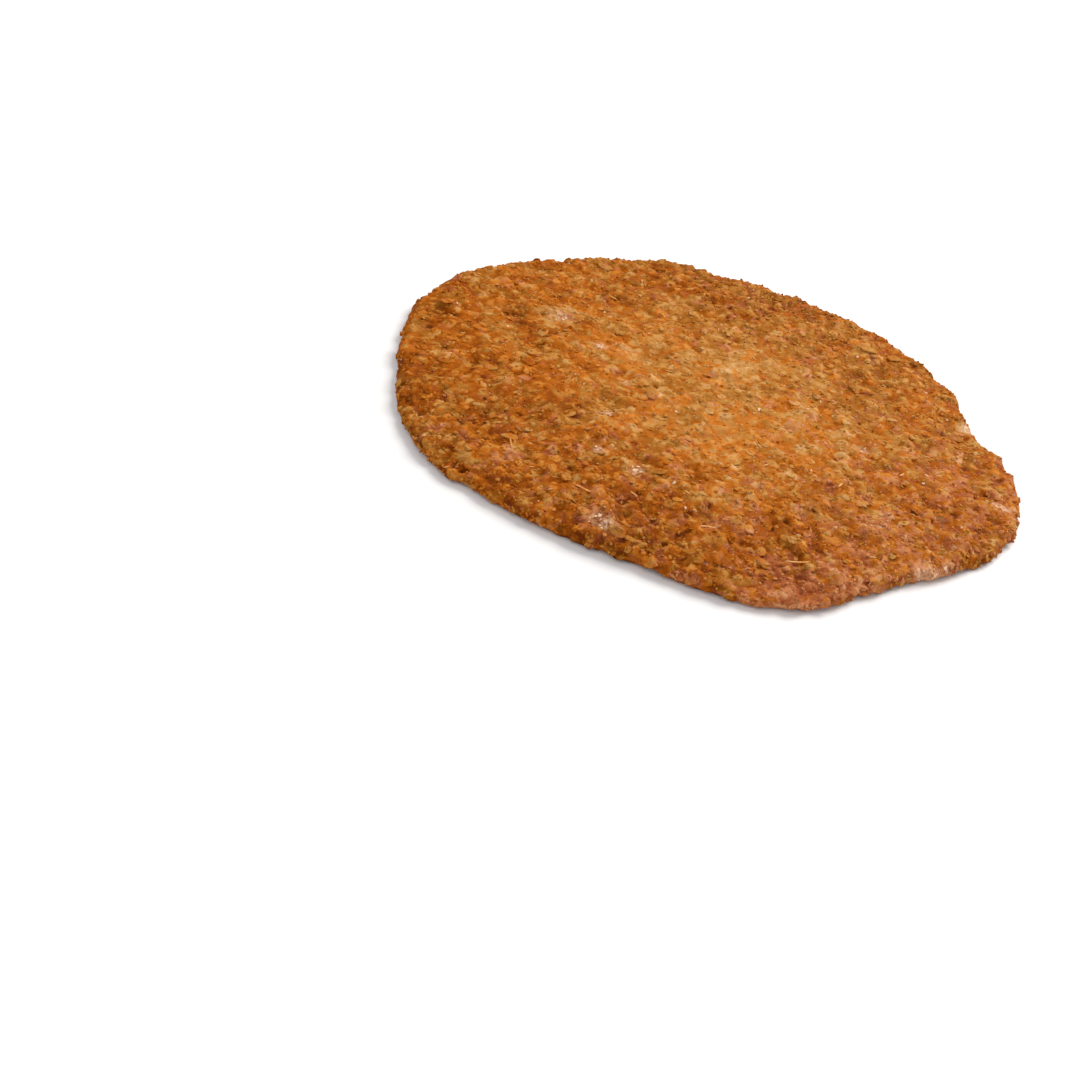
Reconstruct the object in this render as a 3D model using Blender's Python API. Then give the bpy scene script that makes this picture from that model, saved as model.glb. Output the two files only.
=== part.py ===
"""Large thin oatmeal cookie: one round of baked dough, craggy with rolled oats.

Metres, +Z up. The origin is under the middle of the cookie's box, in the flat underside.
+X runs to the right and +Y away from whoever looks at the cookie's near edge.
"""

import math
import random

import bmesh
import bpy
from mathutils import Matrix, Vector, noise

# The round of dough. Its shape is measured from a pole, which lies a little beside the origin.
POLE = (-0.0010, 0.0)
MEAN_RADIUS = 0.0693
MIDDLE_THICKNESS = 0.0046
RIM_THICKNESS = 0.0033
RIM_ROUNDING = 0.0018
RIM_LEVEL = 0.45
FALL_POWER = 3.0

# Where the round is out of true: direction in degrees from +X, bulge (or dent) in metres, half width in degrees.
EDGE_LOBES = (
    (-170.0, -0.0017, 11.0),
    (-140.0, 0.0029, 13.0),
    (-105.0, -0.0021, 14.0),
    (-76.0, 0.0026, 9.0),
    (-51.0, -0.0027, 12.0),
    (-19.0, 0.0030, 17.0),
    (14.0, -0.0047, 9.0),
    (56.0, 0.0018, 18.0),
    (101.0, 0.0021, 8.0),
    (124.0, -0.0012, 11.0),
    (150.0, 0.0007, 12.0),
)
EDGE_CRAG = 0.0009
EDGE_CRAG_LENGTH = 0.0075
EDGE_CRAG_OCTAVES = 2
EDGE_CRAG_PLACE = 4.0

# The top's relief: a slow warp, lumps, and plates the size of oats, all calmer next to the rim.
WARP_HEIGHT = 0.0006
WARP_LENGTH = 0.034
LUMP_HEIGHT = 0.0006
LUMP_LENGTH = 0.0090
LUMP_OCTAVES = 2
PLATE_PITCH = 0.0058
PLATE_STEP = 0.0010
PLATE_LEAN = 0.30
PLATE_CHARACTER = 7.3
PLATE_SEAM_DEPTH = 0.0005
PLATE_SEAM_WIDTH = 0.35
RIM_CALM = 0.06
RELIEF_AT_RIM = 0.55

# Swellings and, with a negative rise, hollows of the top: x, y, rise and half width in metres.
SWELLINGS = (
    (-0.0450, 0.0160, -0.0012, 0.0045),
    (-0.0360, 0.0190, 0.0007, 0.0055),
    (-0.0480, -0.0060, 0.0007, 0.0070),
    (-0.0345, 0.0060, 0.0005, 0.0035),
    (-0.0065, -0.0580, -0.0008, 0.0050),
    (0.0360, -0.0280, -0.0005, 0.0070),
    (0.0050, 0.0110, 0.0004, 0.0080),
)

# Rolled oats that stand out of the dough, the largest first.
FLAKE_LENGTH = 0.0052
FLAKE_WIDTH = 0.0039
FLAKE_THICKNESS = 0.0013
FLAKE_SIDES = 6
FLAKE_TAPER = 0.62
SMALLEST_FLAKE = 0.68
FLAKE_LEAN = math.radians(11)
TOP_FLAKES = 120
TOP_FLAKE_REACH = 0.94
TOP_FLAKE_SPACING = 0.0078
EDGE_FLAKES = 50
EDGE_FLAKE_INSET = 0.0014
EDGE_FLAKE_LEVELS = (0.45, 0.80)
EDGE_FLAKE_LEAN = math.radians(16)
SEED = 21

# The mesh: an even ball of triangles, thinned once it has its relief.
BALL_SUBDIVISIONS = 7
KEPT_SHARE = 0.066

CRUST_COLOUR = (0.47, 0.19, 0.055, 1.0)
CRUST_ROUGHNESS = 0.55
SMOOTH_UP_TO = math.radians(35)


def clear_scene():
    for old in list(bpy.data.objects):
        bpy.data.objects.remove(old)


def new_collection(name):
    collection = bpy.data.collections.new(name)
    bpy.context.scene.collection.children.link(collection)
    return collection


def crust_material():
    material = bpy.data.materials.new("baked_oat_crust")
    material.use_nodes = True
    shader = material.node_tree.nodes["Principled BSDF"]
    shader.inputs["Base Color"].default_value = CRUST_COLOUR
    shader.inputs["Roughness"].default_value = CRUST_ROUGHNESS
    shader.inputs["Metallic"].default_value = 0.0
    return material


def bell(distance, half_width):
    return math.exp(-((distance / half_width) ** 2))


def edge_radius(angle):
    """How far the cookie's edge is from its middle in a direction, in radians from +X."""
    radius = MEAN_RADIUS
    for direction, bulge, half_width in EDGE_LOBES:
        turn = (angle - math.radians(direction) + math.pi) % math.tau - math.pi
        radius += bulge * bell(turn, math.radians(half_width))
    round_the_edge = Vector((math.cos(angle), math.sin(angle), 0)) * (MEAN_RADIUS / EDGE_CRAG_LENGTH)
    round_the_edge.z = EDGE_CRAG_PLACE
    return radius + EDGE_CRAG * noise.fractal(round_the_edge, 1.0, 2.0, EDGE_CRAG_OCTAVES)


def plates(x, y):
    """Height of the plate at a place: each has its own level and lean, and is sunk where it meets the next."""
    distances, points = noise.voronoi(Vector((x, y, 0)) / PLATE_PITCH)
    own = points[0]
    character = noise.noise_vector(own * PLATE_CHARACTER)
    from_own = Vector((x, y, 0)) - own * PLATE_PITCH
    lean = PLATE_LEAN * (character.x * from_own.x + character.y * from_own.y)
    seam = bell(distances[1] - distances[0], PLATE_SEAM_WIDTH)
    return PLATE_STEP * character.z + lean - PLATE_SEAM_DEPTH * seam


def relief(x, y):
    """Warp, lumps, plates and swellings of the top, as a height over the smooth dome."""
    slow = noise.noise(Vector((x, y, 0)) / WARP_LENGTH)
    lumps = noise.fractal(Vector((x, y, 0)) / LUMP_LENGTH, 1.0, 2.0, LUMP_OCTAVES)
    height = WARP_HEIGHT * slow + LUMP_HEIGHT * lumps + plates(x, y)
    for middle_x, middle_y, rise, half_width in SWELLINGS:
        height += rise * bell(math.hypot(x - middle_x, y - middle_y), half_width)
    return height


def top_height(x, y):
    """Height of the top skin over the flat underside."""
    share = min(math.hypot(x, y) / edge_radius(math.atan2(y, x)), 1.0)
    dome = MIDDLE_THICKNESS - (MIDDLE_THICKNESS - RIM_THICKNESS) * share**FALL_POWER
    calm = min((1.0 - share) / RIM_CALM, 1.0)
    return dome + relief(x, y) * (RELIEF_AT_RIM + (1.0 - RELIEF_AT_RIM) * calm)


def on_skin(direction):
    """Carries a point of the unit ball to the cookie: upper half to the top, lower half to the underside.

    Equal areas of the ball stay nearly equal on the cookie, and the ball's equator becomes the rim.
    """
    angle = math.atan2(direction.y, direction.x)
    edge = edge_radius(angle)
    from_pole = math.acos(min(abs(direction.z), 1.0))
    flat_run = edge - RIM_ROUNDING
    whole_run = flat_run + RIM_ROUNDING * math.pi / 2
    run = math.sqrt(2) * math.sin(from_pole / 2) * whole_run
    bend = max(run - flat_run, 0.0) / RIM_ROUNDING
    radius = min(run, flat_run) + RIM_ROUNDING * math.sin(bend)
    x, y = radius * math.cos(angle), radius * math.sin(angle)
    top = top_height(x, y)
    rim = RIM_LEVEL * top
    if direction.z >= 0:
        z = rim + (top - rim) * math.cos(bend)
    else:
        z = rim - rim * math.cos(bend)
    return Vector((x, y, z))


def make_dough(collection):
    """The round of dough, without its oats."""
    shape = bmesh.new()
    bmesh.ops.create_icosphere(shape, subdivisions=BALL_SUBDIVISIONS, radius=1.0)
    for vertex in shape.verts:
        vertex.co = on_skin(vertex.co)
    mesh = bpy.data.meshes.new("oatmeal_cookie")
    shape.to_mesh(mesh)
    shape.free()
    dough = bpy.data.objects.new("oatmeal_cookie", mesh)
    collection.objects.link(dough)
    thinning = dough.modifiers.new("thinning", "DECIMATE")
    thinning.ratio = KEPT_SHARE
    return dough


def make_flake(name, collection, place):
    """One rolled oat: a flat oval plate, a little narrower on top, moved to its place."""
    shape = bmesh.new()
    bmesh.ops.create_cone(
        shape,
        cap_ends=True,
        segments=FLAKE_SIDES,
        radius1=0.5,
        radius2=0.5 * FLAKE_TAPER,
        depth=1.0,
        matrix=Matrix.Diagonal((FLAKE_LENGTH, FLAKE_WIDTH, FLAKE_THICKNESS, 1.0)),
    )
    mesh = bpy.data.meshes.new(name)
    shape.to_mesh(mesh)
    shape.free()
    flake = bpy.data.objects.new(name, mesh)
    flake.matrix_world = place
    collection.objects.link(flake)


def flake_place(draw, x, y, z, size, lean):
    """A flake's matrix: laid any way round, leaning a little, and scaled in its own plane."""
    spin = Matrix.Rotation(draw.uniform(0, math.tau), 4, "Z")
    tip = Matrix.Rotation(draw.uniform(-lean, lean), 4, "X")
    return Matrix.Translation((x, y, z)) @ spin @ tip @ Matrix.Diagonal((size, size, 1.0, 1.0))


def spread_over_top(draw):
    """Places for the top's flakes: drawn at random, and kept where the ones before leave room."""
    places = []
    while len(places) < TOP_FLAKES:
        angle = draw.uniform(-math.pi, math.pi)
        radius = TOP_FLAKE_REACH * math.sqrt(draw.random()) * edge_radius(angle)
        place = Vector((radius * math.cos(angle), radius * math.sin(angle)))
        if all((place - other).length > TOP_FLAKE_SPACING for other in places):
            places.append(place)
    return places


def scatter_flakes(collection):
    """Oats all over the top, then oats along the edge, which lie flat and make its scallops."""
    draw = random.Random(SEED)
    for number, (x, y) in enumerate(spread_over_top(draw)):
        size = 1.0 - (1.0 - SMALLEST_FLAKE) * number / TOP_FLAKES
        place = flake_place(draw, x, y, top_height(x, y), size, FLAKE_LEAN)
        make_flake(f"top_flake_{number}", collection, place)
    for number in range(EDGE_FLAKES):
        angle = (number + draw.uniform(-0.3, 0.3)) * math.tau / EDGE_FLAKES
        radius = edge_radius(angle) - EDGE_FLAKE_INSET
        x, y = radius * math.cos(angle), radius * math.sin(angle)
        z = draw.uniform(*EDGE_FLAKE_LEVELS) * RIM_THICKNESS
        size = draw.uniform(SMALLEST_FLAKE, 1.0)
        make_flake(f"edge_flake_{number}", collection, flake_place(draw, x, y, z, size, EDGE_FLAKE_LEAN))


def islands(shape):
    """The sets of corners that edges join."""
    unseen = set(shape.verts)
    found = []
    while unseen:
        island = set()
        waiting = [unseen.pop()]
        while waiting:
            vertex = waiting.pop()
            island.add(vertex)
            beside = {edge.other_vert(vertex) for edge in vertex.link_edges} & unseen
            unseen -= beside
            waiting.extend(beside)
        found.append(island)
    return found


def fill_hollows(mesh):
    """Keeps the outer skin alone, without the walls of hollows that an oat has sealed."""
    shape = bmesh.new()
    shape.from_mesh(mesh)
    outer_skin = max(islands(shape), key=len)
    inner = [vertex for vertex in shape.verts if vertex not in outer_skin]
    bmesh.ops.delete(shape, geom=inner, context="VERTS")
    shape.to_mesh(mesh)
    shape.free()


def fuse(cookie, flakes):
    """Joins the oats to the dough for good, and removes their own objects."""
    union = cookie.modifiers.new("fuse_oats", "BOOLEAN")
    union.operation = "UNION"
    union.operand_type = "COLLECTION"
    union.collection = flakes
    union.solver = "MANIFOLD"
    graph = bpy.context.evaluated_depsgraph_get()
    fused = bpy.data.meshes.new_from_object(cookie.evaluated_get(graph))
    fill_hollows(fused)
    cookie.modifiers.clear()
    cookie.data = fused
    for flake in list(flakes.objects):
        bpy.data.objects.remove(flake)
    bpy.data.collections.remove(flakes)


def main():
    clear_scene()
    cookie = make_dough(new_collection("oatmeal_cookie"))
    flakes = new_collection("oats_to_fuse")
    scatter_flakes(flakes)
    fuse(cookie, flakes)
    cookie.data.transform(Matrix.Translation((*POLE, 0)))
    cookie.data.materials.clear()
    cookie.data.materials.append(crust_material())
    cookie.data.shade_smooth()
    cookie.data.set_sharp_from_angle(angle=SMOOTH_UP_TO)


main()
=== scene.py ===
"""The looks of a large thin oatmeal cookie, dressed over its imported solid.

The baked dough takes its form from the solid. Rolled oats and bits of oat are pressed into its skin and
drowned in it. Oats with raised edges, crumbs, slivers of husk and specks of flour lie on top, each with
its own size, curl and tone.
"""

import math
from typing import NamedTuple

import bpy
import numpy as np
from mathutils import Matrix, Vector


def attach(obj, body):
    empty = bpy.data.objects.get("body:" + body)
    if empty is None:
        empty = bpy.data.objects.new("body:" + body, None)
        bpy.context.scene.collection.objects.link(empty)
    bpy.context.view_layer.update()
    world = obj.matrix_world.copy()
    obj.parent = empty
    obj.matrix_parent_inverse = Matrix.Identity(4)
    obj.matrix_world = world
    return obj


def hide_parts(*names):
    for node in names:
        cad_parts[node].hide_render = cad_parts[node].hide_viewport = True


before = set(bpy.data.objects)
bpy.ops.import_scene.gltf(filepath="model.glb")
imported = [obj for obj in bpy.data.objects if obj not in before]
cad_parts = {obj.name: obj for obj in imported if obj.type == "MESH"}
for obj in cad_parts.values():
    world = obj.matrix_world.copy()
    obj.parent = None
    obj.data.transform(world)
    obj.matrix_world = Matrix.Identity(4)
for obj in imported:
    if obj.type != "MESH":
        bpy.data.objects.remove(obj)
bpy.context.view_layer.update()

NODE = "oatmeal_cookie"
MM = 0.001
SEED = 5

# The camera stands at the cookie's near edge, a little to the left, looks down and has its head tipped.
CAMERA_PLACE = (-28.7 * MM, -271.6 * MM, 144.3 * MM)
CAMERA_PITCH = math.radians(34.9)
CAMERA_ROLL = math.radians(13.7)
FRAME_PIXELS = 1080
FOCAL_PIXELS = 1373
SENSOR_WIDTH = 36.0
CLOSEST_SEEN = 0.01

# Light: each lamp's place and width in metres, power and colour, and the sky and the floor.
LAMPS = {
    "window": ((0.55, 0.65, 0.85), 0.9, 16.4, (1.0, 0.97, 0.93)),
    "fill": ((-0.5, -0.8, 0.7), 1.4, 7.2, (0.97, 0.98, 1.0)),
}
SKY_COLOUR = (0.94, 0.94, 0.95, 1)
SKY_STRENGTH = 0.55
FLOOR_WIDTH = 8
FLOOR_COLOUR = (0.79, 0.785, 0.78, 1)
FLOOR_ROUGHNESS = 0.7

# The dough. Its skin is an even net, with larger faces below, where the cookie is flat.
MERGE_WITHIN = 0.001 * MM
VOXEL = 1.06 * MM
SOFTEN_PASSES = 1

# Heights: where the underside ends, where the top starts, where the side meets the top, and the tallest
# that a lump may be. What comes near that height is eased down below it.
UNDERSIDE_LEVEL = 0.7 * MM
TOP_LEVEL = 1.6 * MM
SIDE_TOP = 3.2 * MM
HIGHEST = 5.9 * MM
EASING = 0.5 * MM

# Hollows: the depth at which the painted shade in one on the top is darkest, the rise with which an oat in
# the underside comes down to the floor, and the deepest hollow between those oats.
PAINTED_SHADE_DEPTH = 0.6 * MM
FLOOR_RISE = 0.1 * MM
DEEPEST_BELOW = 0.4 * MM

# Relief of the whole skin: name, kind of noise, size in mm, detail, strength in mm and its middle level.
RELIEF = (
    ("lumps", "SOFT_NOISE", 5.0, 1, 1.0, 0.52),
    ("crags", "HARD_NOISE", 2.4, 1, 1.1, 0.35),
    ("crumb", "SOFT_NOISE", 1.2, 2, 0.6, 0.52),
)

# Charts over the cookie: half their width, and their steps. The edge is kept by its direction, in bins.
CHART_REACH = 76 * MM
PRESS_STEP = 0.25 * MM
LEVEL_STEP = 0.8 * MM
EDGE_BINS = 240

# The usual way from the middle of the cookie to its edge, and where the crust starts to be crumbly towards
# the viewer and where it is most so.
MIDDLE_REACH = 68 * MM
CRUMBLY_TOWARDS_VIEWER = (5 * MM, 40 * MM)

# The share of a grid's spacing by which a place on it can be off.
JITTER = 0.45

# An oat's outline is uneven by waves round it: this many of each.
OUTLINE_WAVES = (2, 3, 5)

# Pressed oats, in shares of their size: sloped rim, crease, width and how far out they can bulge. Then how
# deep their sides reach, how much their tilt, outline, tone and warmth vary, and the bare dough's tone and
# warmth.
PRESSED_RIM = 0.45
PRESSED_CREASE = 0.22
PRESSED_WIDTHS = (0.55, 0.85)
PRESSED_BULGE = 1.4
PRESSED_FOOT = -0.22 * MM
PRESSED_TILT = 0.05
PRESSED_UNEVENNESS = 0.16
PRESSED_TONE_SPREAD = 0.14
PRESSED_WARMTH_SPREAD = 0.55
DOUGH_TONE = 0.35
DOUGH_WARMTH = 0.2

# Loose pieces: the usual tone and warmth and how much they vary, the share of the way to the edge inside
# which flat ones stay, the heights from which bits of oat in the side and crumbs are laid, and how far off
# the floor all end. A shape with many faces is smooth.
LOOSE_TONE = (0.57, 0.13)
LOOSE_WARMTH = (-0.15, 0.45)
FLAT_REACH = 0.955
SIDE_OATS_FROM = 0.8 * MM
CRUMBS_FROM = 0.6 * MM
FLOOR_GAP = 0.03 * MM
MANY_FACES = 20

# How far light creeps inside the baked oats, for red, green and blue.
GLOW_RADIUS = (1.0, 0.45, 0.15)
GLOW_SCALE = 0.5 * MM

# Pores in the top: x, y, half width, depth, all in mm.
PORES = (
    (-63.6, 1.5, 0.8, 1.1),
    (-58.4, -12.1, 0.9, 1.1),
    (-46.0, -51.6, 0.9, 1.3),
    (-5.8, -60.7, 0.9, 1.3),
    (52.8, -25.4, 0.8, 1.0),
    (17.0, -44.0, 0.7, 0.9),
    (31.0, -12.5, 0.7, 0.9),
    (50.0, 6.0, 0.7, 0.9),
    (-12.0, -2.0, 0.6, 0.8),
    (3.0, 42.0, 0.6, 0.8),
)

# How far from a pore, in mm, the loose pieces stay.
PORE_CLEARANCE = 0.9

# Small pores between the oats: number, half widths and depths in mm, and how much painted shade darkens
# them.
SMALL_PORES = 200
SMALL_PORE_HALF_WIDTHS = (0.4, 0.8)
SMALL_PORE_DEPTHS = (0.2, 0.5)
SMALL_PORE_PAINTED_SHADE = 0.45

# Swellings of the top and, with a rise below zero, dents: x, y, half width, rise, all in mm.
SWELLS = (
    (-45.2, 0.0, 4.6, 0.45),
    (-41.2, 20.5, 3.2, 0.40),
    (-35.2, 6.5, 2.0, 0.50),
    (-34.9, 17.0, 2.4, 0.40),
    (-46.5, 15.8, 2.4, -0.60),
    (-40.0, 5.0, 1.6, -0.40),
)

# Dusty patches of flour on the top: x, y, half width in mm, strength.
FLOUR_PATCHES = (
    (-36.0, 18.5, 2.6, 0.50),
    (-25.7, 9.9, 1.3, 1.00),
    (-21.6, -19.8, 1.3, 1.00),
    (-21.6, -34.7, 1.0, 0.80),
    (-19.8, -58.8, 2.2, 0.40),
    (-17.3, -60.6, 1.4, 0.95),
    (64.3, -17.2, 1.5, 1.00),
    (34.2, -8.4, 1.2, 0.80),
    (-18.6, -4.1, 1.0, 0.60),
    (-13.5, -39.2, 1.2, 0.90),
    (43.8, -49.6, 1.6, 0.80),
    (47.0, -48.0, 1.8, 0.90),
    (49.2, -46.0, 1.2, 0.60),
    (60.3, 14.9, 1.5, 0.80),
)

# The heights between which dust fades in up the side, and the chance of a speck of flour in the thick of a
# dusty patch, how fast it falls off, and the chance elsewhere.
DUST_FADE = (0.5 * MM, 1.1 * MM)
DUSTY_CHANCE = 0.8
DUSTY_FALLOFF = 1.5
STRAY_CHANCE = 0.0006

# Broad parts of the top with a tint of their own: x, y, half width, all in mm.
GOLDEN_MIDDLE = (5.0, 8.0, 38.0)
TINTED_FAR_SIDE = (10.0, 52.0, 36.0)
BROWN_FAR_EDGE = (0.0, 62.0, 34.0)
LEFT_SIDE = (-62.0, -10.0, 42.0)
NEAR_LEFT_SIDE = (-20.0, -62.0, 34.0)
ROSY_NEAR_EDGE = (28.0, -66.0, 26.0)
ROSY_RIGHT_SIDE = (60.0, -14.0, 28.0)

# Places paler or browner than those round them, some of them painted light and shade: x, y, half width in
# mm, tone, warmth.
PATCHES = (
    (-41.2, 19.8, 3.0, 0.16, -0.2),
    (-34.9, 24.3, 2.4, 0.12, -0.2),
    (-35.4, 6.5, 2.4, 0.20, -0.3),
    (2.0, 11.3, 3.5, 0.08, -0.2),
    (6.6, 13.0, 3.5, 0.20, -0.7),
    # The next four rows are painted shade in the dent by the dome and in the groove round it, and the
    # fifth is painted light on the dome.
    (-46.5, 16.5, 2.4, -0.30, 0.2),
    (-44.0, 11.5, 1.8, -0.22, 0.1),
    (-41.0, 7.0, 1.4, -0.18, 0.1),
    (-38.8, 3.0, 1.6, -0.26, 0.1),
    (-45.2, 1.0, 4.0, 0.08, -0.1),
    (-59.0, -29.0, 5.5, 0.10, 0.0),
    (-16.5, -45.5, 5.0, 0.08, 0.1),
    (37.6, -15.6, 5.0, -0.10, 0.1),
    (50.6, -25.6, 4.5, -0.12, 0.2),
    (46.0, -48.6, 3.0, 0.28, 0.3),
    (60.2, 15.0, 2.0, 0.60, -0.6),
    (17.0, -60.0, 7.0, -0.08, 0.1),
    (18.0, -68.0, 5.5, 0.20, 1.0),
    (32.0, -64.0, 7.0, 0.16, 0.7),
    (42.0, -44.0, 14.0, 0.12, 0.2),
    (-36.0, -46.0, 16.0, 0.05, 0.1),
    (5.0, -38.0, 14.0, 0.04, 0.0),
)

# Slivers of husk that stand out: x, y, length in mm, turn in degrees. They lie a little off the dough.
LONG_HUSKS = (
    (-23.6, -49.7, 5.0, -33.0),
    (0.9, -52.4, 3.6, 20.0),
    (19.3, -56.3, 4.8, 15.0),
)
LONG_HUSK_RISE = 0.15 * MM


class Pressed(NamedTuple):
    """One size of oat in the skin: its spacing, lengths, heights and crease are in mm."""

    spacing: float
    length: float
    spread: float
    shortest: float
    longest: float
    lowest: float
    highest: float
    crease: float
    tone: float
    warmth: float


PRESSED_OATS = (
    Pressed(
        spacing=4.6, length=3.8, spread=0.18, shortest=2.6, longest=5.2,
        lowest=-0.02, highest=0.16, crease=0.07, tone=0.62, warmth=-0.40,
    ),
    Pressed(
        spacing=2.7, length=2.3, spread=0.28, shortest=1.3, longest=3.4,
        lowest=-0.06, highest=0.20, crease=0.04, tone=0.60, warmth=-0.20,
    ),
    Pressed(
        spacing=1.5, length=1.1, spread=0.25, shortest=0.7, longest=1.7,
        lowest=-0.10, highest=0.20, crease=0.0, tone=0.46, warmth=0.15,
    ),
)


class Loose(NamedTuple):
    """One kind of loose piece: its sizes are in mm, and narrow and wide are shares of its length."""

    spacing: float
    length: float
    spread: float
    shortest: float
    longest: float
    narrow: float
    wide: float
    thin: float
    thick: float
    deepest: float
    highest: float
    lean: float
    unevenness: float
    curl: float


def deselect():
    bpy.ops.object.select_all(action="DESELECT")


def make_active(piece):
    deselect()
    piece.select_set(True)
    bpy.context.view_layer.objects.active = piece


def apply_modifier(piece, name, kind, **settings):
    make_active(piece)
    modifier = piece.modifiers.new(name, kind)
    for setting, value in settings.items():
        setattr(modifier, setting, value)
    bpy.ops.object.modifier_apply(modifier=name)


def corners(piece):
    places = np.empty(len(piece.data.vertices) * 3)
    piece.data.vertices.foreach_get("co", places)
    return places.reshape(-1, 3)


def facings(piece):
    """The way the skin faces at each corner."""
    normals = np.empty(len(piece.data.vertices) * 3)
    piece.data.vertices.foreach_get("normal", normals)
    return normals.reshape(-1, 3)


def set_corners(piece, places):
    piece.data.vertices.foreach_set("co", places.ravel())
    piece.data.update()


def select_corners(piece, wanted):
    """Goes into edit mode with the wanted corners selected and no others."""
    make_active(piece)
    bpy.ops.object.mode_set(mode="EDIT")
    bpy.ops.mesh.select_all(action="DESELECT")
    bpy.ops.object.mode_set(mode="OBJECT")
    for corner in piece.data.vertices:
        corner.select = wanted(corner.co)
    for edge in piece.data.edges:
        edge.select = all(piece.data.vertices[end].select for end in edge.vertices)
    for face in piece.data.polygons:
        face.select = all(piece.data.vertices[end].select for end in face.vertices)
    bpy.ops.object.mode_set(mode="EDIT")


def set_measure(piece, name, values):
    """Keeps one number for each corner of a piece, which its finish reads."""
    measure = piece.data.attributes.new(name, "FLOAT", "POINT")
    measure.data.foreach_set("value", np.asarray(values, dtype=np.float32).ravel())


def count_triangles(piece):
    piece.data.calc_loop_triangles()
    return len(piece.data.loop_triangles)


def bell(distance, half_width):
    return np.exp(-((distance / half_width) ** 2))


def closeness(x, y, middle_x, middle_y, half_width):
    """1 at a place given in mm, and falling to 0 away from it."""
    return bell(np.hypot(x - middle_x * MM, y - middle_y * MM), half_width * MM)


def between(value, low, high):
    """0 below low and 1 above high, with a smooth way between."""
    share = np.clip((value - low) / (high - low), 0.0, 1.0)
    return share * share * (3.0 - 2.0 * share)


def crumbliness(share, y):
    """How crumbly the crust is: little in the middle, more towards the edge and most at the near edge."""
    return between(share, 0.28, 0.72) * (0.15 + 0.85 * between(-y, *CRUMBLY_TOWARDS_VIEWER))


def draw_lengths(draw, kind, number):
    """Lengths in mm that vary as those of a kind of oat or crumb do."""
    lengths = draw.lognormal(math.log(kind.length), kind.spread, number)
    return np.clip(lengths, kind.shortest, kind.longest)


def ease_down(places):
    """Lowers what stands too tall, the tallest most, and lifts nothing."""
    over = np.maximum(places[..., 2] - (HIGHEST - EASING), 0.0)
    places[..., 2] += EASING * (1.0 - np.exp(-over / EASING)) - over
    return places


# Camera, light and floor


def place_camera():
    data = bpy.data.cameras.new("camera")
    data.sensor_width = SENSOR_WIDTH
    data.lens = SENSOR_WIDTH * FOCAL_PIXELS / FRAME_PIXELS
    data.clip_start = CLOSEST_SEEN
    camera = bpy.data.objects.new("camera", data)
    camera.location = CAMERA_PLACE
    looking = Matrix.Rotation(math.pi / 2 - CAMERA_PITCH, 3, "X") @ Matrix.Rotation(CAMERA_ROLL, 3, "Z")
    camera.rotation_euler = looking.to_euler()
    bpy.context.scene.collection.objects.link(camera)
    bpy.context.scene.camera = camera


def add_lamp(name, place, size, power, colour):
    data = bpy.data.lights.new(name, "AREA")
    data.shape = "DISK"
    data.size = size
    data.energy = power
    data.color = colour
    lamp = bpy.data.objects.new(name, data)
    lamp.location = place
    lamp.rotation_euler = (-Vector(place)).to_track_quat("-Z", "Y").to_euler()
    bpy.context.scene.collection.objects.link(lamp)


def light_the_studio():
    for name, lamp in LAMPS.items():
        add_lamp(name, *lamp)
    world = bpy.data.worlds.new("studio")
    world.use_nodes = True
    world.node_tree.nodes["Background"].inputs["Color"].default_value = SKY_COLOUR
    world.node_tree.nodes["Background"].inputs["Strength"].default_value = SKY_STRENGTH
    bpy.context.scene.world = world
    bpy.context.scene.view_settings.view_transform = "Standard"


def lay_floor():
    deselect()
    bpy.ops.mesh.primitive_plane_add(size=FLOOR_WIDTH)
    floor = bpy.context.object
    floor.name = "floor"
    paint = bpy.data.materials.new("pale_floor")
    paint.use_nodes = True
    paint.node_tree.nodes["Principled BSDF"].inputs["Base Color"].default_value = FLOOR_COLOUR
    paint.node_tree.nodes["Principled BSDF"].inputs["Roughness"].default_value = FLOOR_ROUGHNESS
    floor.data.materials.append(paint)


# The round of dough


class Chart:
    """Numbers on an even grid over the cookie, read at any place between its points."""

    def __init__(self, step, start=0.0):
        self.step = step
        width = 2 * round(CHART_REACH / step) + 1
        self.values = np.full((width, width), start)

    def cells(self, x, y):
        return (x + CHART_REACH) / self.step, (y + CHART_REACH) / self.step

    def read(self, x, y):
        i, j = (np.clip(cell, 0, len(self.values) - 1.001) for cell in self.cells(x, y))
        low_i, low_j = i.astype(int), j.astype(int)
        part_i, part_j = i - low_i, j - low_j
        near = self.values[low_i, low_j] * (1 - part_i) + self.values[low_i + 1, low_j] * part_i
        far = self.values[low_i, low_j + 1] * (1 - part_i) + self.values[low_i + 1, low_j + 1] * part_i
        return near * (1 - part_j) + far * part_j

    def window(self, x, y, reach):
        """The cells within reach of a place, and how far each is from it along x and along y."""
        wide = int(reach / self.step) + 1
        spans = []
        for cell in self.cells(x, y):
            middle = int(round(cell))
            spans.append(np.arange(max(middle - wide, 0), min(middle + wide + 1, len(self.values))))
        along = spans[0] * self.step - CHART_REACH - x
        across = spans[1] * self.step - CHART_REACH - y
        return np.ix_(*spans), along[:, None], across[None, :]


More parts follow.
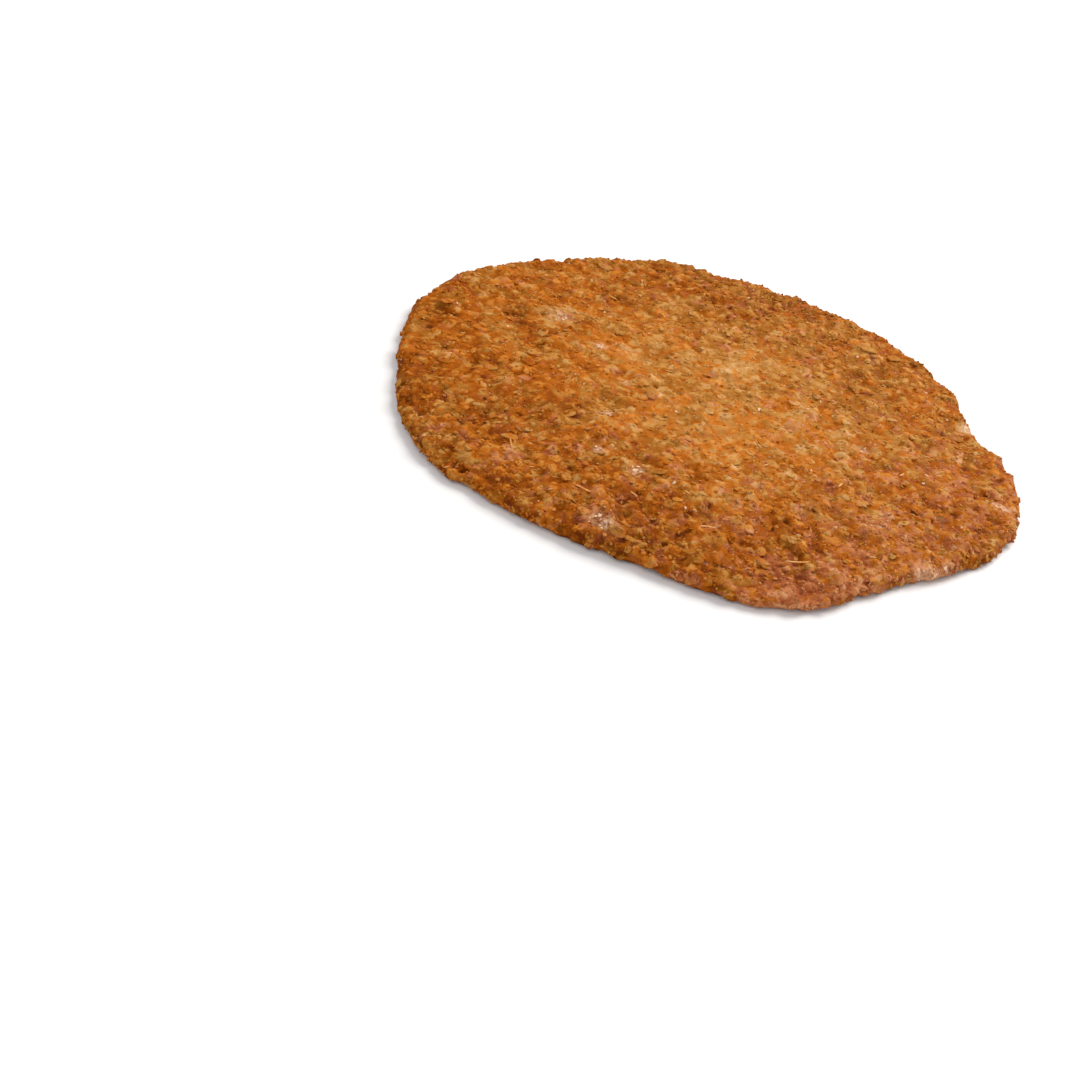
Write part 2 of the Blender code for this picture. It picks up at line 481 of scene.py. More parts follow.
class Skin:
    """What the pressed oats do to the top: how far each place rises, and the tone and warmth it has."""

    def __init__(self, draw):
        self.rise = Chart(PRESS_STEP)
        self.tone = Chart(PRESS_STEP, DOUGH_TONE)
        self.warmth = Chart(PRESS_STEP, DOUGH_WARMTH)
        for kind in PRESSED_OATS:
            self.press_all(draw, kind)
        self.prick(draw)

    def press_all(self, draw, kind):
        x, y = jittered_grid(draw, kind.spacing * MM, CHART_REACH)
        number = len(x)
        lengths = draw_lengths(draw, kind, number) * MM
        widths = lengths * draw.uniform(*PRESSED_WIDTHS, number)
        turns = draw.uniform(0, math.tau, number)
        tops = draw.uniform(kind.lowest, kind.highest, number) * MM
        tilts = draw.normal(0, PRESSED_TILT, (number, 2))
        waves = draw.uniform(0, PRESSED_UNEVENNESS, (number, len(OUTLINE_WAVES)))
        starts = draw.uniform(0, math.tau, (number, len(OUTLINE_WAVES)))
        tones = np.clip(draw.normal(kind.tone, PRESSED_TONE_SPREAD, number), 0.1, 1.0)
        warmths = draw.normal(kind.warmth, PRESSED_WARMTH_SPREAD, number)
        for oat in range(number):
            self.press(
                (x[oat], y[oat]), (lengths[oat] / 2, widths[oat] / 2), turns[oat], tops[oat], tilts[oat],
                waves[oat], starts[oat], kind.crease * MM, (tones[oat], warmths[oat]),
            )

    def press(self, place, halves, turn, top, tilt, waves, starts, crease, paint):
        """Lays one oat over those before it, wherever it stands higher than they do."""
        cells, along, across = self.rise.window(*place, halves[0] * PRESSED_BULGE)
        ahead = (along * math.cos(turn) + across * math.sin(turn)) / halves[0]
        aside = (across * math.cos(turn) - along * math.sin(turn)) / halves[1]
        angle = np.arctan2(aside, ahead)
        outline = 1.0
        for count, wave, start in zip(OUTLINE_WAVES, waves, starts):
            outline = outline + wave * np.cos(count * angle + start)
        inside = np.clip((1.0 - np.hypot(ahead, aside) / outline) / PRESSED_RIM, 0.0, 1.0)
        height = PRESSED_FOOT + (top - PRESSED_FOOT) * np.sqrt(inside)
        height = height + (tilt[0] * ahead + tilt[1] * aside) * MM
        height = height - crease * bell(aside, PRESSED_CREASE)
        shows = (height > self.rise.values[cells]) & (inside > 0)
        blend = np.where(shows, np.clip(1.2 * inside, 0.0, 1.0), 0.0)
        self.rise.values[cells] = np.where(shows, height, self.rise.values[cells])
        self.tone.values[cells] += blend * (paint[0] - self.tone.values[cells])
        self.warmth.values[cells] += blend * (paint[1] - self.warmth.values[cells])

    def prick(self, draw):
        """Small pores between the oats, with shade painted into them."""
        for _ in range(SMALL_PORES):
            x, y = draw.uniform(-CHART_REACH, CHART_REACH, 2)
            half_width = draw.uniform(*SMALL_PORE_HALF_WIDTHS) * MM
            depth = draw.uniform(*SMALL_PORE_DEPTHS) * MM
            cells, along, across = self.rise.window(x, y, 2.5 * half_width)
            pore = bell(np.hypot(along, across), half_width)
            self.rise.values[cells] -= depth * pore
            # Painted shade darkens the tone inside the pore.
            self.tone.values[cells] -= SMALL_PORE_PAINTED_SHADE * pore


def jittered_grid(draw, spacing, reach):
    """Places all over the cookie, evenly spread and yet in no rows."""
    steps = np.arange(-reach, reach, spacing)
    x, y = np.meshgrid(steps, steps, indexing="ij")
    x = x + (np.arange(len(steps)) % 2)[None, :] * spacing / 2
    x = x.ravel() + draw.uniform(-JITTER, JITTER, x.size) * spacing
    y = y.ravel() + draw.uniform(-JITTER, JITTER, y.size) * spacing
    order = draw.permutation(len(x))
    return x[order], y[order]


def copy_solid():
    """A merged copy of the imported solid, as an even net of small faces."""
    dough = bpy.data.objects.new("dough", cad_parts[NODE].data.copy())
    dough.data.materials.clear()
    bpy.context.scene.collection.objects.link(dough)
    make_active(dough)
    bpy.ops.object.mode_set(mode="EDIT")
    bpy.ops.mesh.select_all(action="SELECT")
    bpy.ops.mesh.remove_doubles(threshold=MERGE_WITHIN)
    bpy.ops.object.mode_set(mode="OBJECT")
    apply_modifier(dough, "net", "REMESH", mode="VOXEL", voxel_size=VOXEL)
    apply_modifier(dough, "soften", "SMOOTH", factor=0.5, iterations=SOFTEN_PASSES)
    return dough


def weigh_corners(dough, name, weights):
    """A group of corners, each with its own weight."""
    group = dough.vertex_groups.new(name=name)
    steps = np.round(weights, 2)
    for step in np.unique(steps):
        group.add(np.flatnonzero(steps == step).tolist(), float(step), "REPLACE")


def roughen(dough):
    """Pushes lumps, crags and crumb out of the skin and into it, least in the middle and on the side."""
    x, y, _ = corners(dough).T
    outward = 1.0 - between(np.abs(facings(dough)[:, 2]), 0.1, 0.8)
    crumbly = 0.72 + 0.28 * crumbliness(np.hypot(x, y) / MIDDLE_REACH, y)
    weigh_corners(dough, "crumbly", crumbly * (1.0 - 0.35 * outward))
    for name, noise, size, detail, strength, middle in RELIEF:
        texture = bpy.data.textures.new(name, "CLOUDS")
        texture.noise_type = noise
        texture.noise_scale = size * MM
        texture.noise_depth = detail
        settings = {"texture_coords": "LOCAL", "strength": strength * MM, "mid_level": middle}
        apply_modifier(dough, name, "DISPLACE", texture=texture, vertex_group="crumbly", **settings)
    dough.vertex_groups.clear()


def halve_top_faces(dough):
    """Smaller faces on the top and the side than below."""
    select_corners(dough, lambda place: place.z > UNDERSIDE_LEVEL)
    bpy.ops.mesh.subdivide(number_cuts=1, smoothness=0.6)
    bpy.ops.object.mode_set(mode="OBJECT")


def press_top(dough, skin):
    """Shapes the top by its oats, pores and swellings, and hollows the underside between its oats."""
    places = corners(dough)
    level = between(facings(dough)[:, 2], 0.1, 0.6) * (places[:, 2] > TOP_LEVEL)
    places[:, 2] += level * skin.rise.read(places[:, 0], places[:, 1])
    pores = [(x, y, half_width, -depth) for x, y, half_width, depth in PORES]
    for x, y, half_width, rise in (*pores, *SWELLS):
        places[:, 2] += level * rise * MM * closeness(places[:, 0], places[:, 1], x, y, half_width)
    below = between(-facings(dough)[:, 2], 0.1, 0.6) * (places[:, 2] < UNDERSIDE_LEVEL)
    hollow = FLOOR_RISE - skin.rise.read(-places[:, 0], places[:, 1])
    places[:, 2] += below * np.clip(hollow, 0.0, DEEPEST_BELOW)
    places[:, 2] = np.maximum(places[:, 2], 0.0)
    set_corners(dough, ease_down(places))


def make_dough(skin):
    dough = copy_solid()
    halve_top_faces(dough)
    roughen(dough)
    press_top(dough, skin)
    dough.data.shade_smooth()
    return dough


# Tones over the cookie


class Bake:
    """How brown, golden, rosy and floury each place is, by where on the cookie it lies, with painted shade
    in hollows and pores.
    """

    def __init__(self, dough, skin):
        self.skin = skin
        places = corners(dough)
        x, y, z = places.T
        number = self.bins(x, y)
        self.edges = np.zeros(EDGE_BINS)
        np.maximum.at(self.edges, number.astype(int) % EDGE_BINS, np.hypot(x, y))
        top = (z > TOP_LEVEL) & (facings(dough)[:, 2] > 0)
        self.level = Chart(LEVEL_STEP)
        i, j = (np.round(cell).astype(int) for cell in self.level.cells(x[top], y[top]))
        total, count = np.zeros_like(self.level.values), np.zeros_like(self.level.values)
        np.add.at(total, (i, j), z[top])
        np.add.at(count, (i, j), 1.0)
        total, count = self.spread(total), self.spread(count)
        self.level.values = total / np.maximum(count, 1.0)

    @staticmethod
    def bins(x, y):
        return (np.arctan2(y, x) + math.pi) / math.tau * EDGE_BINS

    @staticmethod
    def spread(values):
        """Each cell with the sum of the cells round it."""
        return sum(np.roll(values, (i, j), (0, 1)) for i in range(-2, 3) for j in range(-2, 3))

    def share(self, x, y):
        """0 at the middle of the cookie and 1 at its edge."""
        turn = self.bins(x, y) - 0.5
        whole = np.floor(turn).astype(int)
        part = turn - whole
        edge = self.edges[whole % EDGE_BINS] * (1 - part) + self.edges[(whole + 1) % EDGE_BINS] * part
        return np.hypot(x, y) / edge

    def browning(self, x, y, z):
        share = self.share(x, y)
        browned = 0.10 * between(share, 0.2, 0.7) + 0.07 * between(share, 0.8, 1.0)
        browned += 0.06 * closeness(x, y, *LEFT_SIDE)
        browned += 0.05 * closeness(x, y, *NEAR_LEFT_SIDE)
        browned += 0.07 * closeness(x, y, *BROWN_FAR_EDGE)
        browned += 0.10 * between(1.0 - z / TOP_LEVEL, 0.0, 1.0)
        return browned

    def goldness(self, x, y):
        """Golden in the middle and on the far side, and orange on the left."""
        middle = closeness(x, y, *GOLDEN_MIDDLE)
        far = closeness(x, y, *TINTED_FAR_SIDE)
        left = closeness(x, y, *LEFT_SIDE)
        return 0.50 * middle + 0.60 * far - 0.15 * left

    def rosiness(self, x, y):
        """Pinkish brown towards the near edge, on the right and, a little, on the far side."""
        near = closeness(x, y, *ROSY_NEAR_EDGE)
        right = closeness(x, y, *ROSY_RIGHT_SIDE)
        far = closeness(x, y, *TINTED_FAR_SIDE)
        nearer = between(-y, 10 * MM, 45 * MM)
        return 0.55 * near + 0.60 * right + 0.25 * far + 0.20 * nearer

    def pores(self, x, y):
        """1 at the bottom of a pore and 0 away from it, which sets the painted shade in the pores."""
        depth = np.zeros_like(x)
        for px, py, half_width, _ in PORES:
            depth = np.maximum(depth, closeness(x, y, px, py, 0.8 * half_width))
        return depth

    def patches(self, x, y):
        """What the patches add to tone and to warmth."""
        tone, warmth = np.zeros_like(x), np.zeros_like(x)
        for px, py, half_width, patch_tone, patch_warmth in PATCHES:
            share = closeness(x, y, px, py, half_width)
            tone += patch_tone * share
            warmth += patch_warmth * share
        return tone, warmth

    def flour(self, x, y):
        amount = np.zeros_like(x)
        for px, py, half_width, strength in FLOUR_PATCHES:
            amount = np.maximum(amount, strength * closeness(x, y, px, py, half_width))
        return amount

    def paint(self, piece, tone, warmth):
        """Keeps what a piece's finish reads: tone with painted shade in the pores, warmth, rosiness, flour
        and how crumbly it is.
        """
        x, y, z = corners(piece).T
        crumbly = crumbliness(self.share(x, y), y)
        patch_tone, patch_warmth = self.patches(x, y)
        tone = 0.5 + (tone - 0.5) * (0.8 + 0.2 * crumbly)
        # Painted shade: the tone darkens towards the bottom of each pore.
        tone += patch_tone - self.browning(x, y, z) - 0.5 * self.pores(x, y)
        set_measure(piece, "tone", tone)
        set_measure(piece, "crumbly", crumbly)
        set_measure(piece, "warmth", warmth + patch_warmth - self.goldness(x, y))
        set_measure(piece, "rosiness", patch_warmth + self.rosiness(x, y))
        set_measure(piece, "flour", self.flour(x, y) * between(z, *DUST_FADE))

    def paint_dough(self, dough):
        """The dough takes its tones from the charts, which run on down the side and lie mirrored below.
        Shade is painted into the hollows of the top, and light onto its rises.
        """
        x, y, z = corners(dough).T
        upper = between(facings(dough)[:, 2], 0.0, 0.5) * (z > TOP_LEVEL)
        # Painted shade: the top is darker where it lies below the smoothed level round it, and painted
        # light makes it paler where it stands above that level.
        hollow = np.clip((self.level.read(x, y) - z) / PAINTED_SHADE_DEPTH, -0.6, 1.0) * upper
        below = between(-facings(dough)[:, 2], 0.1, 0.6)
        down_the_side = np.maximum(SIDE_TOP - z, 0.0) * (1.0 - below)
        outwards = 1.0 + down_the_side / np.maximum(np.hypot(x, y), MM)
        chart_x, chart_y = np.where(below > 0.5, -x, x) * outwards, y * outwards
        tone, warmth = self.skin.tone.read(chart_x, chart_y), self.skin.warmth.read(chart_x, chart_y)
        self.paint(dough, tone - 0.16 * hollow, warmth)


# Loose pieces


def model_oat(segments, rings):
    """One rolled oat, a unit across: a flat oval cushion with a crease along its upper side."""
    deselect()
    bpy.ops.mesh.primitive_uv_sphere_add(segments=segments, ring_count=rings, radius=0.5)
    oat = bpy.context.object
    select_corners(oat, lambda place: 0.1 < math.hypot(place.x, place.y) < 0.45)
    bpy.ops.transform.resize(value=(1.2, 1.2, 1.0))
    bpy.ops.object.mode_set(mode="OBJECT")
    select_corners(oat, lambda place: place.z > 0.2 and abs(place.y) < 0.05)
    bpy.ops.transform.translate(value=(0, 0, -0.12))
    bpy.ops.object.mode_set(mode="OBJECT")
    return take_shape(oat)


def model_crumb():
    """One crumb, a unit across: a low lump with a flat foot and a dented side."""
    deselect()
    bpy.ops.mesh.primitive_ico_sphere_add(subdivisions=1, radius=0.5)
    crumb = bpy.context.object
    select_corners(crumb, lambda place: place.z < -0.1)
    bpy.ops.transform.resize(value=(0.9, 0.9, 0.5))
    bpy.ops.object.mode_set(mode="OBJECT")
    select_corners(crumb, lambda place: place.x > 0.2 and place.y > 0)
    bpy.ops.transform.translate(value=(-0.1, 0.05, 0.1))
    bpy.ops.object.mode_set(mode="OBJECT")
    return take_shape(crumb)


def model_sliver():
    """One sliver of husk, a unit long: a thin strip that narrows to both ends."""
    deselect()
    bpy.ops.mesh.primitive_cube_add(size=1.0)
    sliver = bpy.context.object
    for cut in (-0.3, 0.0, 0.3):
        select_corners(sliver, lambda place: True)
        bpy.ops.mesh.bisect(plane_co=(cut, 0, 0), plane_no=(1, 0, 0))
        bpy.ops.object.mode_set(mode="OBJECT")
    for side in (-1, 1):
        select_corners(sliver, lambda place: place.x * side > 0.4)
        bpy.ops.transform.resize(value=(1.0, 0.25, 0.5), center_override=(side * 0.5, 0, -0.25))
        bpy.ops.object.mode_set(mode="OBJECT")
    return take_shape(sliver)


def take_shape(piece):
    """The corners and faces of a modelled piece, which is then put away."""
    places = corners(piece)
    faces = [tuple(face.vertices) for face in piece.data.polygons]
    bpy.data.objects.remove(piece)
    return places, faces


def choose_spots(dough, draw, spacing, keep):
    """Places on the dough, one in each small box of space, and the way the skin faces at each."""
    places, normals = corners(dough), facings(dough)
    order = draw.permutation(np.flatnonzero(keep(places, normals)))
    boxes = np.floor(places[order] / np.array(spacing)).astype(int)
    chosen = order[np.unique(boxes, axis=0, return_index=True)[1]]
    return places[chosen], normals[chosen]


def column(kind):
    """The room for one piece of a kind: as wide as its spacing, and taller than the cookie."""
    return kind.spacing * MM, kind.spacing * MM, 1.0


def shape_copies(shape, draw, kind, lengths):
    """Every copy's corners in its own directions: uneven in outline, and curled and twisted a little."""
    number = len(lengths)
    widths = lengths * draw.uniform(kind.narrow, kind.wide, number)
    thicknesses = draw.uniform(kind.thin, kind.thick, number) * MM
    angle = np.arctan2(shape[:, 1], shape[:, 0])[None, :]
    swell = np.ones((number, len(shape)))
    for count in OUTLINE_WAVES:
        wave = draw.uniform(0, kind.unevenness, (number, 1))
        start = draw.uniform(0, math.tau, (number, 1))
        swell += wave * np.cos(count * angle + start)
    along = shape[None, :, 0] * swell * lengths[:, None]
    across = shape[None, :, 1] * swell * widths[:, None]
    bend, twist, cup = (draw.uniform(-kind.curl, kind.curl, (number, 1)) for _ in range(3))
    up = shape[None, :, 2] * thicknesses[:, None]
    up = up + bend * along**2 + twist * along * across + 0.5 * (cup - 0.3 * kind.curl) * across**2
    return along, across, up


def own_directions(normals, turns):
    """Each piece's own along, across and up, from the way it faces and its turn."""
    up = normals / np.linalg.norm(normals, axis=1)[:, None]
    helper = np.where(np.abs(up[:, 2:]) > 0.5, (0.0, 1.0, 0.0), (0.0, 0.0, 1.0))
    ahead = np.cross(helper, up)
    ahead /= np.linalg.norm(ahead, axis=1)[:, None]
    along = ahead * np.cos(turns)[:, None] + np.cross(up, ahead) * np.sin(turns)[:, None]
    return along, np.cross(up, along), up


def join_copies(name, faces, places, smooth):
    """One mesh from the corners of all copies of a shape."""
    number, per_copy = places.shape[:2]
    mesh = bpy.data.meshes.new(name)
    all_faces = []
    for first in range(0, number * per_copy, per_copy):
        all_faces += [tuple(first + corner for corner in face) for face in faces]
    mesh.from_pydata(places.reshape(-1, 3).tolist(), [], all_faces)
    piece = bpy.data.objects.new(name, mesh)
    bpy.context.scene.collection.objects.link(piece)
    if smooth:
        mesh.shade_smooth()
    return piece


def lay(name, model, bake, draw, kind, spots, facing, lengths=None, turns=None):
    """Lays a copy of a shape at each spot, sunk by different amounts, and paints it."""
    shape, faces = model
    number = len(spots)
    if lengths is None:
        lengths = draw_lengths(draw, kind, number)
    if turns is None:
        turns = draw.uniform(0, math.tau, number)
    along, across, up = shape_copies(shape, draw, kind, np.asarray(lengths) * MM)
    ex, ey, ez = own_directions(facing + draw.normal(0, kind.lean, (number, 3)), turns)
    middle = spots + ez * (draw.uniform(kind.deepest, kind.highest, number) * MM)[:, None]
    places = middle[:, None, :] + along[..., None] * ex[:, None, :]
    places += across[..., None] * ey[:, None, :] + up[..., None] * ez[:, None, :]
    places[..., 2] = np.maximum(places[..., 2], FLOOR_GAP)
    piece = join_copies(name, faces, ease_down(places), smooth=len(faces) > MANY_FACES)
    own = np.tile(np.clip(0.7 + 1.6 * shape[:, 2], 0.0, 1.0), number)
    tone = np.repeat(np.clip(draw.normal(*LOOSE_TONE, number), 0.15, 1.0), len(shape))
    warmth = np.repeat(draw.normal(*LOOSE_WARMTH, number), len(shape))
    x, y = places[..., 0].ravel(), places[..., 1].ravel()
    bed_tone, bed_warmth = bake.skin.tone.read(x, y), bake.skin.warmth.read(x, y)
    bake.paint(piece, bed_tone + own * (tone - bed_tone), bed_warmth + own * (warmth - bed_warmth))
    return piece


def clear_of_pores(places):
    clear = np.ones(len(places), bool)
    for x, y, half_width, _ in PORES:
        away = np.hypot(places[:, 0] - x * MM, places[:, 1] - y * MM)
        clear &= away > (half_width + PORE_CLEARANCE) * MM
    return clear


def is_top(places, normals):
    return (places[:, 2] > TOP_LEVEL) & (normals[:, 2] > 0.5) & clear_of_pores(places)


def is_side(places, normals):
    return (normals[:, 2] < 0.75) & (normals[:, 2] > -0.3) & (places[:, 2] > SIDE_OATS_FROM)


def is_top_or_side(places, normals):
    return (places[:, 2] > CRUMBS_FROM) & (normals[:, 2] > -0.3) & clear_of_pores(places)


def is_below(places, normals):
    return (places[:, 2] < UNDERSIDE_LEVEL) & (normals[:, 2] < -0.5)


LOOSE_OATS = Loose(
    spacing=7.0, length=3.1, spread=0.2, shortest=2.2, longest=4.2, narrow=0.55, wide=0.8,
    thin=0.35, thick=0.50, deepest=-0.27, highest=-0.14, lean=0.06, unevenness=0.15, curl=25.0,
)
CUT_OATS = Loose(
    spacing=3.8, length=1.9, spread=0.28, shortest=1.1, longest=2.9, narrow=0.5, wide=0.8,
    thin=0.30, thick=0.50, deepest=-0.26, highest=-0.10, lean=0.10, unevenness=0.16, curl=30.0,
)
CRUMBS = Loose(
    spacing=1.55, length=0.8, spread=0.3, shortest=0.4, longest=1.5, narrow=0.6, wide=1.0,
    thin=0.30, thick=0.60, deepest=-0.16, highest=0.04, lean=0.3, unevenness=0.2, curl=0.0,
)
SIDE_OATS = Loose(
    spacing=2.2, length=1.5, spread=0.25, shortest=0.9, longest=2.4, narrow=0.6, wide=0.9,
    thin=0.35, thick=0.60, deepest=-0.34, highest=-0.16, lean=0.12, unevenness=0.15, curl=40.0,
)
LOWER_OATS = Loose(
    spacing=3.2, length=3.2, spread=0.25, shortest=1.8, longest=5.0, narrow=0.6, wide=0.85,
    thin=0.35, thick=0.55, deepest=-0.16, highest=-0.04, lean=0.03, unevenness=0.12, curl=8.0,
)
HUSKS = Loose(
    spacing=24.0, length=2.2, spread=0.25, shortest=1.4, longest=3.2, narrow=0.08, wide=0.12,
    thin=0.08, thick=0.12, deepest=0.02, highest=0.10, lean=0.10, unevenness=0.0, curl=45.0,
)
FLOUR = Loose(
    spacing=0.8, length=0.8, spread=0.3, shortest=0.4, longest=1.4, narrow=0.35, wide=0.8,
    thin=0.12, thick=0.22, deepest=-0.07, highest=0.01, lean=0.12, unevenness=0.18, curl=30.0,
)


def lay_husks(bake, dough, draw):
    """Three long slivers of husk and a scatter of short ones."""
    spots, _ = choose_spots(dough, draw, column(HUSKS), is_top)
    lengths = draw_lengths(draw, HUSKS, len(spots))
    turns = draw.uniform(0, math.tau, len(spots))
    x, y, long_lengths, long_turns = np.array(LONG_HUSKS).T
    height = bake.level.read(x * MM, y * MM) + LONG_HUSK_RISE
    spots = np.concatenate((spots, np.column_stack((x * MM, y * MM, height))))
    facing = np.tile((0.0, 0.0, 1.0), (len(spots), 1))
    lengths = np.concatenate((lengths, long_lengths))
    turns = np.concatenate((turns, np.radians(long_turns)))
    return lay("husks", model_sliver(), bake, draw, HUSKS, spots, facing, lengths, turns)


def lay_flour(bake, dough, draw):
    """Specks of flour, thick in the dusty patches and rare elsewhere."""

    def dusty(places, normals):
        chance = DUSTY_CHANCE * bake.flour(places[:, 0], places[:, 1]) ** DUSTY_FALLOFF + STRAY_CHANCE
        return is_top(places, normals) & (draw.uniform(0, 1, len(places)) < chance)

    spots, normals = choose_spots(dough, draw, column(FLOUR), dusty)
    return lay("flour_specks", model_crumb(), bake, draw, FLOUR, spots, normals)


def lay_all(bake, dough, draw):
    upright = np.array((0.0, 0.0, 1.0))
    whole, cut = model_oat(segments=12, rings=4), model_oat(segments=8, rings=4)
    crumb = model_crumb()

    def flat_spots(kind, keep):
        def inside(places, normals):
            return keep(places, normals) & (bake.share(places[:, 0], places[:, 1]) < FLAT_REACH)

        spots, normals = choose_spots(dough, draw, column(kind), inside)
        return spots, normals + upright * np.sign(normals[:, 2:])

    def spots_all_round(kind, keep):
        return choose_spots(dough, draw, (kind.spacing * MM,) * 3, keep)

    return [
        lay("loose_oats", whole, bake, draw, LOOSE_OATS, *flat_spots(LOOSE_OATS, is_top)),
        lay("cut_oats", cut, bake, draw, CUT_OATS, *flat_spots(CUT_OATS, is_top)),
        lay("crumbs", crumb, bake, draw, CRUMBS, *spots_all_round(CRUMBS, is_top_or_side)),
        lay("side_oats", cut, bake, draw, SIDE_OATS, *spots_all_round(SIDE_OATS, is_side)),
        lay("lower_oats", cut, bake, draw, LOWER_OATS, *flat_spots(LOWER_OATS, is_below)),
    ]


# Finishes


class Value:
    """A socket of a finish, so that shader maths reads as arithmetic."""

    def __init__(self, finish, socket):
        self.finish = finish
        self.socket = socket

    def maths(self, operation, first, second):
        return self.finish.node("ShaderNodeMath", {"operation": operation}, {0: first, 1: second})

    def __add__(self, other):
        return self.maths("ADD", self, other)

    __radd__ = __add__

    def __sub__(self, other):
        return self.maths("SUBTRACT", self, other)

    def __rsub__(self, other):
        return self.maths("SUBTRACT", other, self)

    def __mul__(self, other):
        return self.maths("MULTIPLY", self, other)

    __rmul__ = __mul__

    def between(self, low, high):
        """0 below low and 1 above high, with a smooth way between."""
        settings = {"interpolation_type": "SMOOTHSTEP"}
        return self.finish.node("ShaderNodeMapRange", settings, {0: self, 1: low, 2: high})


class Finish:
    """A material, whose nodes all come from node()."""

    def __init__(self, name, specular, glow=0.0):
        self.material = bpy.data.materials.new(name)
        self.material.use_nodes = True
        self.tree = self.material.node_tree
        self.shader = self.tree.nodes["Principled BSDF"]
        self.shader.inputs["Specular IOR Level"].default_value = specular
        self.shader.inputs["Subsurface Weight"].default_value = glow
        self.shader.inputs["Subsurface Radius"].default_value = GLOW_RADIUS
        self.shader.inputs["Subsurface Scale"].default_value = GLOW_SCALE
        self.place = self.node("ShaderNodeTexCoord", output="Object")

    def node(self, kind, settings=None, inputs=None, output=0):
        made = self.tree.nodes.new(kind)
        for name, value in (settings or {}).items():
            if name == "stops":
                self.set_stops(made.color_ramp, value)
            else:
                setattr(made, name, value)
        for name, value in (inputs or {}).items():
            self.feed(made.inputs[name], value)
        return Value(self, made.outputs[output])

    @staticmethod
    def set_stops(ramp, stops):
        while len(ramp.elements) < len(stops):
            ramp.elements.new(0.5)
        for element, (position, colour) in zip(ramp.elements, stops):
            element.position = position
            element.color = colour

    def feed(self, socket, value):
        if isinstance(value, Value):
            self.tree.links.new(value.socket, socket)
        else:
            socket.default_value = value

    def surface(self, name, value):
        self.feed(self.shader.inputs[name], value)

    def measure(self, name):
        return self.node("ShaderNodeAttribute", {"attribute_name": name}, output="Fac")

    def noise(self, size, detail=2.0, roughness=0.5, distortion=0.0):
        """Cloudy values from about -0.25 to 0.25, with marks of a size in metres."""
        inputs = {"Vector": self.place, "Scale": 1 / size, "Detail": detail}
        inputs.update({"Roughness": roughness, "Distortion": distortion})
        return self.node("ShaderNodeTexNoise", {}, inputs) - 0.5

    def mix(self, factor, first, second):
        settings = {"data_type": "RGBA", "blend_type": "MIX"}
        return self.node("ShaderNodeMix", settings, {0: factor, 6: first, 7: second}, output=2)

    def ramp(self, value, *stops):
        return self.node("ShaderNodeValToRGB", {"stops": stops}, {"Fac": value}, output="Color")

    def bump(self, height, strength, distance):
        inputs = {"Strength": strength, "Distance": distance, "Height": height}
        self.surface("Normal", self.node("ShaderNodeBump", {}, inputs))


def seen(red, green, blue):
    """A colour as the eye reads it, 0 to 255, for a shader."""
    channels = (value / 255 for value in (red, green, blue))
    straight = (v / 12.92 if v <= 0.04045 else ((v + 0.055) / 1.055) ** 2.4 for v in channels)
    return (*straight, 1.0)


def crust_colour(finish, light, warmth, rosiness):
    """Baked crust from burnt sugar to pale oat, each in an orange, a golden and a rosy kind."""
    orange = finish.ramp(
        light,
        (0.0, seen(102, 44, 5)),
        (0.25, seen(155, 79, 10)),
        (0.5, seen(184, 108, 32)),
        (0.75, seen(196, 132, 62)),
        (1.0, seen(207, 153, 102)),
    )
    golden = finish.ramp(
        light,
        (0.0, seen(102, 50, 5)),
        (0.25, seen(151, 90, 24)),
        (0.5, seen(178, 123, 57)),
        (0.75, seen(192, 145, 90)),
        (1.0, seen(205, 163, 117)),
    )
    rosy = finish.ramp(
        light,
        (0.0, seen(106, 45, 16)),
        (0.25, seen(155, 84, 44)),
        (0.5, seen(184, 116, 72)),
        (0.75, seen(198, 140, 98)),
        (1.0, seen(210, 164, 126)),
    )
    colour = finish.mix(warmth.between(-0.7, 0.3), golden, orange)
    return finish.mix(rosiness.between(0.35, 1.15), colour, rosy)


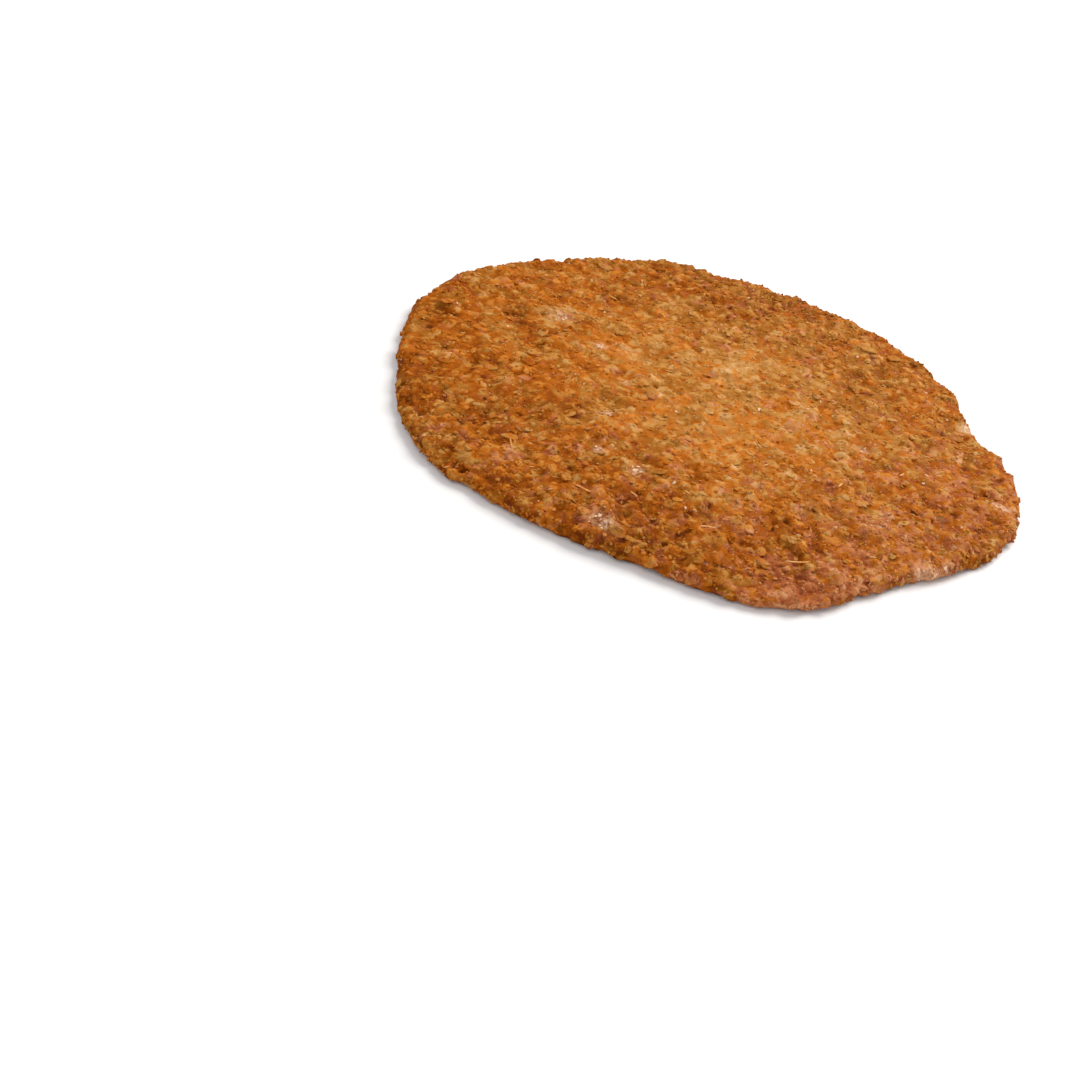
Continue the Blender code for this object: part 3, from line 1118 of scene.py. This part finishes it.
def make_crust():
    """The finish of dough and oats, in small soft-edged patches of many tones."""
    finish = Finish("baked_crust", specular=0.02, glow=0.25)
    cloud = finish.noise(24 * MM)
    blotch = finish.noise(6.5 * MM, distortion=0.5)
    patch = finish.noise(2.2 * MM, detail=3.0, roughness=0.6, distortion=0.4)
    crumbly = finish.measure("crumbly")
    grain = finish.noise(0.45 * MM, detail=3.0, roughness=0.6)
    speckle = 0.36 * patch * (0.70 + 0.30 * crumbly) + 0.36 * grain * (0.30 + 0.70 * crumbly)
    light = finish.measure("tone") + 0.18 * cloud + 0.47 * blotch + speckle
    warmth = finish.measure("warmth") + 5.0 * finish.noise(3.4 * MM, distortion=0.5)
    warmth = warmth + 3.0 * finish.noise(8.0 * MM, detail=1.0) + 0.6 * finish.noise(0.6 * MM)
    rosiness = finish.measure("rosiness") + 4.5 * finish.noise(2.8 * MM, distortion=0.8)
    colour = crust_colour(finish, light, warmth, rosiness + 0.8 * finish.noise(0.7 * MM))
    dust = finish.noise(0.8 * MM, roughness=0.6).between(-0.18, 0.10) * finish.measure("flour")
    finish.surface("Base Color", finish.mix(0.9 * dust, colour, seen(218, 180, 152)))
    gloss = 0.8 * finish.noise(1.8 * MM, detail=3.0, roughness=0.6)
    finish.surface("Roughness", 0.60 - gloss + 0.2 * dust)
    height = finish.noise(0.5 * MM, detail=4.0, roughness=0.6) + 0.8 * finish.noise(1.2 * MM)
    finish.bump(height * (0.42 + 0.68 * crumbly), strength=0.85, distance=0.4 * MM)
    glaze = finish.noise(0.9 * MM, roughness=0.6).between(0.10, 0.22)
    finish.surface("Coat Weight", 0.25 * glaze)
    finish.shader.inputs["Coat Roughness"].default_value = 0.25
    return finish.material


def make_husk():
    """Dry straw-coloured husk, browner in places."""
    finish = Finish("oat_husk", specular=0.15)
    toasted = finish.noise(1.4 * MM).between(-0.15, 0.2)
    finish.surface("Base Color", finish.mix(toasted, seen(212, 158, 94), seen(186, 120, 54)))
    finish.surface("Roughness", 0.55 + 0.3 * finish.noise(0.6 * MM))
    finish.bump(finish.noise(0.25 * MM), strength=0.4, distance=0.1 * MM)
    return finish.material


def make_flour():
    """Flour baked on in specks: off-white, toasted in places."""
    finish = Finish("toasted_flour", specular=0.1)
    toasted = finish.noise(1.0 * MM).between(-0.05, 0.25)
    finish.surface("Base Color", finish.mix(toasted, seen(221, 187, 157), seen(206, 156, 112)))
    finish.surface("Roughness", 0.8 + 0.2 * finish.noise(0.7 * MM))
    finish.bump(finish.noise(0.2 * MM, detail=3.0), strength=0.5, distance=0.1 * MM)
    return finish.material


def main():
    place_camera()
    light_the_studio()
    lay_floor()
    draw = np.random.default_rng(SEED)
    skin = Skin(draw)
    dough = make_dough(skin)
    bake = Bake(dough, skin)
    bake.paint_dough(dough)
    crust, husk, flour = make_crust(), make_husk(), make_flour()
    finished = [(piece, crust) for piece in lay_all(bake, dough, draw)]
    finished.append((lay_husks(bake, dough, draw), husk))
    finished.append((lay_flour(bake, dough, draw), flour))
    finished.append((dough, crust))
    for piece, finish in finished:
        piece.data.materials.append(finish)
        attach(piece, "root")
        print("piece", piece.name, count_triangles(piece), "triangles")
    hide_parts(NODE)


main()
